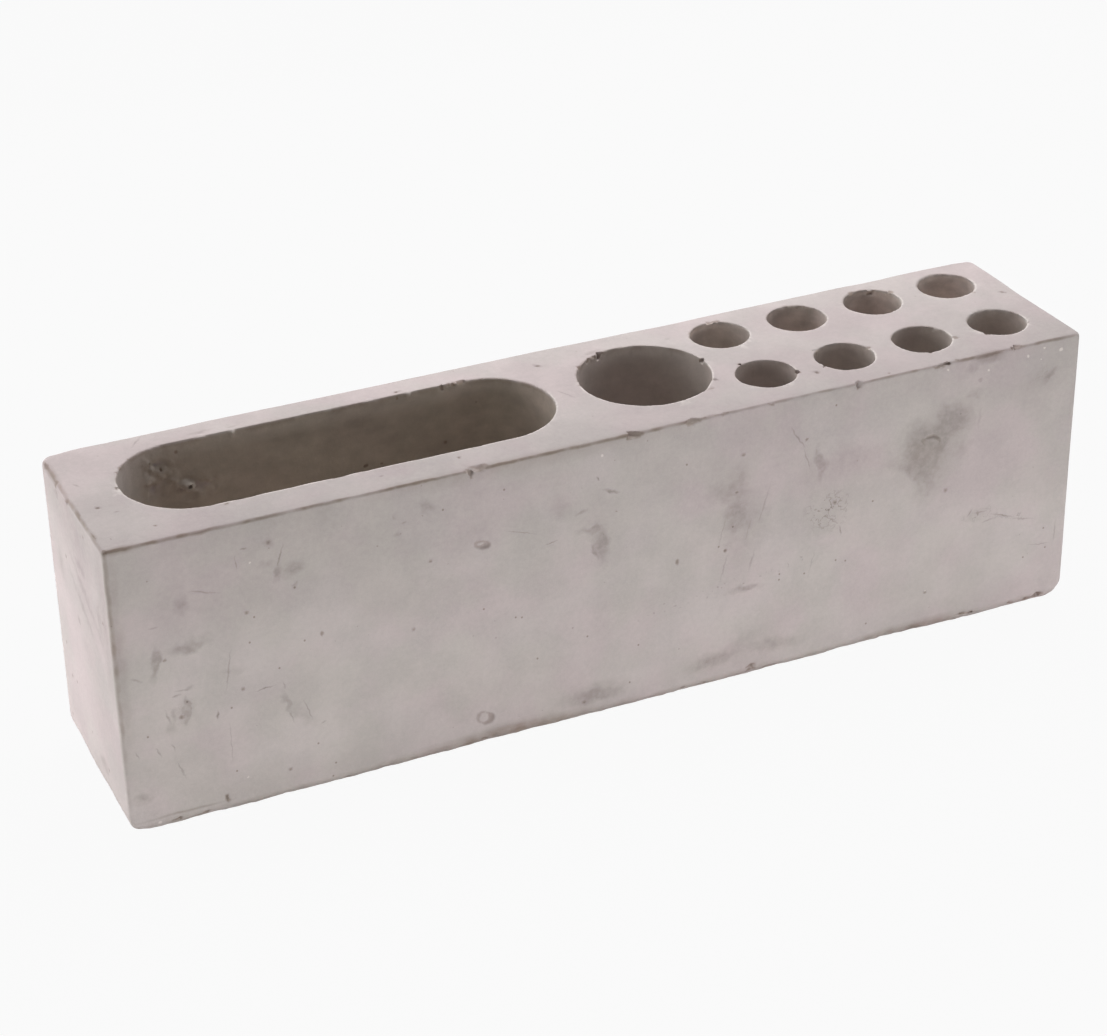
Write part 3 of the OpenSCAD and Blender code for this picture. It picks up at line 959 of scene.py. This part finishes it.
def dark_marks(s, thin_place, smudges, scratches, wrinkles):
    """Smudges, wrinkled skin and scratches. The creases and some broad smudges are painted shade."""
    soft_place = s.wobbled(3.2, 1.5)
    patchy = s.plus(0.7, s.remap(s.noise(s.place, 2.2, 4), 0.33, 0.67), 0.5)
    dark = s.math("MINIMUM", s.times(s.spots(soft_place, smudges), 1.8), 0.5)
    dark = s.times(dark, patchy)
    if wrinkles:
        ridge = s.math("ABSOLUTE", s.math("SUBTRACT", s.noise(thin_place, 2.6, 3), 0.5))
        # The creases are painted dark as shade.
        crease_shade = s.times(s.remap(ridge, 0.035, 0.005), s.spots(soft_place, wrinkles))
        dark = s.larger(dark, s.times(crease_shade, 0.5, clamp=True))
    thin = s.times(s.spots(thin_place, scratches), 1.7, clamp=True)
    return s.larger(dark, s.times(thin, patchy))


def stains_and_edge_shade(s):
    """Dirt along the block's edges and the far lips of its hollows, partly painted shade on the front top
    edge, the lower front edge and the far lips.
    """
    spots = [(middle, size, (0, 0, 0), much) for middle, size, much in STAINS_AND_EDGE_SHADE]
    uneven = s.plus(0.65, s.remap(s.noise(s.place, 6, 3), 0.35, 0.65), 0.7)
    stains = s.times(s.times(s.spots(s.wobbled(5, 0.35), spots), uneven), 1.5, clamp=True)
    worn = s.remap(s.noise(s.place, 5, 4), 0.4, 0.6, 0.3, 1)
    # The far lips get brown dirt and painted shade.
    return s.larger(stains, s.times(s.times(s.attribute("far_lip"), worn), 0.55))


def pores(s, place):
    """A tiny open pore in about one of six cells."""
    cells = s.node("TexVoronoi", feature="F1")
    s.feed(cells.inputs["Vector"], place)
    cells.inputs["Scale"].default_value = 1 / 3.4
    few = s.math("LESS_THAN", s.node("SeparateColor", (cells.outputs["Color"],)).outputs[0], 0.16)
    return s.times(s.remap(cells.outputs["Distance"], 0.085, 0.04), few)


def concrete(name, greenness, smudges, scratches, pinholes=(), wrinkles=(), specks=()):
    """The look of one face: clean cement, then its marks with painted shade and a painted highlight, then
    a fine relief.
    """
    s = Shader(name, roughness=0.82, specular=0.3)
    hollow = s.attribute("hollow")
    clouds = s.noise(s.shifted(70, 0, 0), 15, 4)
    fine, grain = s.noise(s.place, 1.5, 4), s.noise(s.place, 0.45, 2)
    thin_place = s.wobbled(1.6, 0.45)
    colour = cement(s, hollow, clouds, fine, grain, greenness)

    pore = pores(s, thin_place)
    # Pores and pinholes are darkened as painted shade.
    pit_shade = s.times(pore, 0.5)
    if pinholes:
        drawn = s.spots(s.place, on_front([(x, z, 0.38, 0.42, 0, 2.4) for x, z in pinholes], 2))
        pit_shade = s.larger(pit_shade, s.math("MINIMUM", drawn, 0.95))
    dent_shade = s.larger(s.attribute("hole"), s.times(s.attribute("ring"), 0.6))
    # Smudges and scratches, with painted shade in the creases and in some broad spots.
    colour = s.shade(colour, SMUDGE_AND_SHADE, dark_marks(s, thin_place, smudges, scratches, wrinkles))
    # Brown stains, partly painted shade along the front top edge, the lower front edge and the far lips.
    colour = s.shade(colour, STAIN_AND_SHADE, stains_and_edge_shade(s))
    # Chips darkened: the broken skin's own colour and painted shade in the chips.
    colour = s.shade(colour, BROKEN_AND_SHADE, s.attribute("broken"))
    # Holes, grooves, pores and pinholes darkened: painted shade.
    colour = s.shade(colour, HOLE_SHADE, s.larger(dent_shade, pit_shade))

    # A pale line painted along the hollows' near lips: painted highlight.
    lip_highlight = s.times(s.attribute("near_lip"), s.remap(fine, 0.3, 0.6, 0.2, 0.6))
    pale = s.larger(s.times(s.attribute("grout"), 0.2), lip_highlight)
    if specks:
        marks = [(x, z, 0.8 * radius, 0.8 * radius, 0, 1.4) for x, z, radius in specks]
        drawn = s.spots(thin_place, on_front(marks, 2))
        pale = s.larger(s.math("MINIMUM", drawn, 0.55), pale)
    # The pale colour paints grout, specks and the near-lip highlight.
    s.feed(s.surface.inputs["Base Color"], s.mix(pale, colour, SPECK_AND_HIGHLIGHT))
    s.feed(s.surface.inputs["Roughness"], s.remap(clouds, 0.3, 0.7, 0.74, 0.9))

    height = s.plus(s.times(s.noise(s.place, 5, 2), 0.6), fine, 0.5)
    height = s.plus(s.plus(height, grain, 0.25), pore, -0.6)
    s.feed(s.surface.inputs["Normal"], s.bump(height, 0.12))
    return s.material


def concrete_faces():
    """The materials of the front face, of the top face, and of all other faces."""
    scratches = on_front(FRONT_SCRATCHES + list(dotted_line()))
    front = concrete("cast_concrete_front", 0.75, on_front(FRONT_SMUDGES_AND_SHADE), scratches,
                     PINHOLES, on_front(WRINKLES), FRONT_SPECKS)
    top = concrete("cast_concrete_top", 0.05, on_top(TOP_SMUDGES), on_top(TOP_SCRATCHES))
    smudges = on_left(LEFT_SMUDGES_AND_SHADE) + list(unseen_marks(24, (3, 11), (2, 5), (0.12, 0.3), 21))
    scratches = list(unseen_marks(32, (1.5, 7), (0.3, 0.45), (0.2, 0.45), 22))
    rest = concrete("cast_concrete_rest", 0.1, smudges, scratches)
    return front, top, rest


def felt():
    """Pressed wool felt: dark, with short fibres, lighter flecks and a soft sheen."""
    s = Shader("pad_felt_look", roughness=0.95, specular=0.15)
    s.surface.inputs["Sheen Weight"].default_value = 0.35
    s.surface.inputs["Sheen Roughness"].default_value = 0.6
    strands = s.noise(s.vector("MULTIPLY", s.wobbled(2, 1.2), (1, 1, 3)), 0.35, 4)
    colour = s.mix(s.remap(strands, 0.3, 0.7), (0.055, 0.051, 0.048, 1), (0.14, 0.13, 0.122, 1))
    flecks = s.remap(s.noise(s.place, 0.5, 2), 0.64, 0.72)
    s.feed(s.surface.inputs["Base Color"], s.mix(flecks, colour, (0.24, 0.225, 0.21, 1)))
    s.feed(s.surface.inputs["Normal"], s.bump(strands, 0.15))
    return s.material


# ---- Felt pads ---------------------------------------------------------------------------------
PAD_ROUNDS = 72          # points round a pad
PAD_EDGE = 0.5           # rounding of its lower edge, mm


def make_pad(node, seed):
    """A felt disc under the block, with a fuzzy skin that bulges a little between its faces."""
    (x0, y0, z0), (x1, y1, z1) = [[value / MM for value in corner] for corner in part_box(node)]
    radius, height = (x1 - x0) / 2, z1 - z0
    outline = [(radius * part, 0) for part in (0.2, 0.4, 0.6, 0.78, 0.9)]
    for step in range(4):
        angle = step / 3 * math.pi / 2
        outline.append((radius - PAD_EDGE * (1 - math.sin(angle)), PAD_EDGE * (1 - math.cos(angle))))
    outline += [(radius + 0.1, height * 0.5), (radius + 0.1, height * 0.7), (radius, height * 0.9)]
    outline += [(radius * part, height) for part in (0.97, 0.7, 0.35)]
    angles = np.arange(PAD_ROUNDS) * 2 * math.pi / PAD_ROUNDS
    points = [(r * math.cos(a), r * math.sin(a), z) for r, z in outline for a in angles]
    points += [(0, 0, 0), (0, 0, height)]
    points = np.array(points)
    x, y, z = points.T
    out = np.hypot(x, y)[:, None]
    fuzz = 0.09 * rough(x, y, z + 9 * seed, 1.1, seed)
    fuzz *= smooth_step(out[:, 0], radius * 0.6, radius)
    points[:, :2] *= 1 + fuzz[:, None] / np.maximum(out, 1)
    points += ((x0 + x1) / 2, (y0 + y1) / 2, z0)
    faces = []
    last = (len(outline) - 1) * PAD_ROUNDS
    bottom, top = len(points) - 2, len(points) - 1
    for a in range(PAD_ROUNDS):
        b = (a + 1) % PAD_ROUNDS
        faces.append((bottom, b, a))
        faces.append((top, last + a, last + b))
        for row in range(0, last, PAD_ROUNDS):
            faces.append((row + a, row + b, row + PAD_ROUNDS + b))
            faces.append((row + a, row + PAD_ROUNDS + b, row + PAD_ROUNDS + a))
    pad = new_object(node.replace("foot_pad", "felt_pad"), points, np.array(faces))
    pad.data.shade_smooth()
    pad.data.set_sharp_from_angle(angle=math.radians(50))
    return pad


# ---- The object --------------------------------------------------------------------------------
felt_look = felt()
block = make_block(concrete_faces())
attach(block, "root")
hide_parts("concrete_block")
for number, node in enumerate(sorted(name for name in frame["nodes"] if name.startswith("foot_pad")), 1):
    pad = make_pad(node, number)
    pad.data.materials.append(felt_look)
    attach(pad, "root")
    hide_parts(node)


# ---- Floor, light and camera -------------------------------------------------------------------
FLOOR_HALF = 9.0              # metres from the middle of the floor to its edge
BACKGROUND = 0.955            # what the camera sees where the floor ends
FLOOR_WHITE = (0.8, 0.008)    # how much light the floor sends back: to the object, to the camera
FLOOR_GLOW = (0.06, 0.945)    # light of its own, so that it looks as pale as a lit studio sweep
FILL = 0.117                  # light from all round
AIM = (0, 0, 0.05)

# Softboxes: name, place, width and height in metres, and watts
SOFTBOXES = [
    ("over_right", (0.2, 0.2, 0.8), (0.5, 0.5), 6.2),
    ("over_back", (0, 0.18, 0.35), (1.0, 0.15), 0.5),
    ("back_low", (0, 0.5, 0.15), (1.2, 0.25), 0.7),
    ("left", (-1.2, -0.1, 0.45), (0.8, 0.8), 0.8),
    ("left_back", (-0.5, 0.3, 0.2), (0.3, 0.3), 1.1),
    ("left_low", (-0.42, 0.12, 0.04), (0.3, 0.07), 0.45),
    ("front", (0, -1.2, 0.15), (1.4, 0.25), 3.0),
    ("front_low", (0.03, -0.28, 0.03), (0.7, 0.05), 0.42),
    ("right", (1.2, -0.3, 0.5), (0.6, 0.6), 1.5),
]


def camera_choice(nodes, others, camera):
    """A number that is one thing to the camera and another to all other rays."""
    ray = nodes.new("ShaderNodeLightPath")
    choice = nodes.new("ShaderNodeMapRange")
    choice.inputs["To Min"].default_value = others
    choice.inputs["To Max"].default_value = camera
    choice.id_data.links.new(ray.outputs["Is Camera Ray"], choice.inputs["Value"])
    return choice.outputs["Result"]


def make_floor():
    """One large pale sheet on which the object leaves only a faint shadow."""
    corners = [(x * FLOOR_HALF, y * FLOOR_HALF, 0) for x, y in ((-1, -1), (1, -1), (1, 1), (-1, 1))]
    mesh = bpy.data.meshes.new("floor")
    mesh.from_pydata(corners, [], [(0, 1, 2, 3)])
    floor = bpy.data.objects.new("floor", mesh)
    bpy.context.scene.collection.objects.link(floor)
    s = Shader("floor_look", roughness=1, specular=0)
    s.surface.inputs["Emission Color"].default_value = (1, 1, 1, 1)
    white = camera_choice(s.tree.nodes, *FLOOR_WHITE)
    s.feed(s.surface.inputs["Base Color"], white)
    s.feed(s.surface.inputs["Emission Strength"], camera_choice(s.tree.nodes, *FLOOR_GLOW))
    floor.data.materials.append(s.material)
    floor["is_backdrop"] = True


def make_world():
    """Even light from all round. The camera sees the background's own paleness instead."""
    world = bpy.data.worlds.new("studio")
    world.use_nodes = True
    nodes = world.node_tree.nodes
    strength = camera_choice(nodes, FILL, BACKGROUND)
    world.node_tree.links.new(strength, nodes["Background"].inputs["Strength"])
    nodes["Background"].inputs["Color"].default_value = (1, 1, 1, 1)
    bpy.context.scene.world = world


def make_softbox(name, place, size, watts):
    light = bpy.data.lights.new(f"softbox_{name}", "AREA")
    light.shape = "RECTANGLE"
    light.size, light.size_y = size
    light.energy = watts
    lamp = bpy.data.objects.new(light.name, light)
    lamp.location = place
    lamp.rotation_euler = (lamp.location - Vector(AIM)).to_track_quat("Z", "Y").to_euler()
    lamp.visible_camera = False
    bpy.context.scene.collection.objects.link(lamp)


CAMERA_AZIMUTH = math.radians(-24.04)
CAMERA_ELEVATION = math.radians(29)
CAMERA_ROLL = math.radians(-0.97)
CAMERA_DISTANCE = 0.8272
CAMERA_TARGET = Vector((-0.0088, 0, 0.0531))
CAMERA_LENS = 92.54           # mm, on a sensor 36 mm wide


def make_camera():
    turn = Matrix.Rotation(CAMERA_AZIMUTH, 4, "Z")
    tilt = Matrix.Rotation(math.pi / 2 - CAMERA_ELEVATION, 4, "X")
    roll = Matrix.Rotation(CAMERA_ROLL, 4, "Z")
    camera = bpy.data.objects.new("camera", bpy.data.cameras.new("camera"))
    camera.data.lens = CAMERA_LENS
    camera.data.sensor_width = 36
    camera.data.sensor_fit = "HORIZONTAL"
    pull_back = Matrix.Translation((0, 0, CAMERA_DISTANCE))
    camera.matrix_world = Matrix.Translation(CAMERA_TARGET) @ turn @ tilt @ roll @ pull_back
    bpy.context.scene.collection.objects.link(camera)
    bpy.context.scene.camera = camera


make_floor()
make_world()
for softbox in SOFTBOXES:
    make_softbox(*softbox)
make_camera()
bpy.context.scene.view_settings.view_transform = "Standard"

visual_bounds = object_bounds()
sizes = {"cad": cad_bounds, "visual": visual_bounds}
{name: [list(corner) for corner in box] for name, box in sizes.items()}
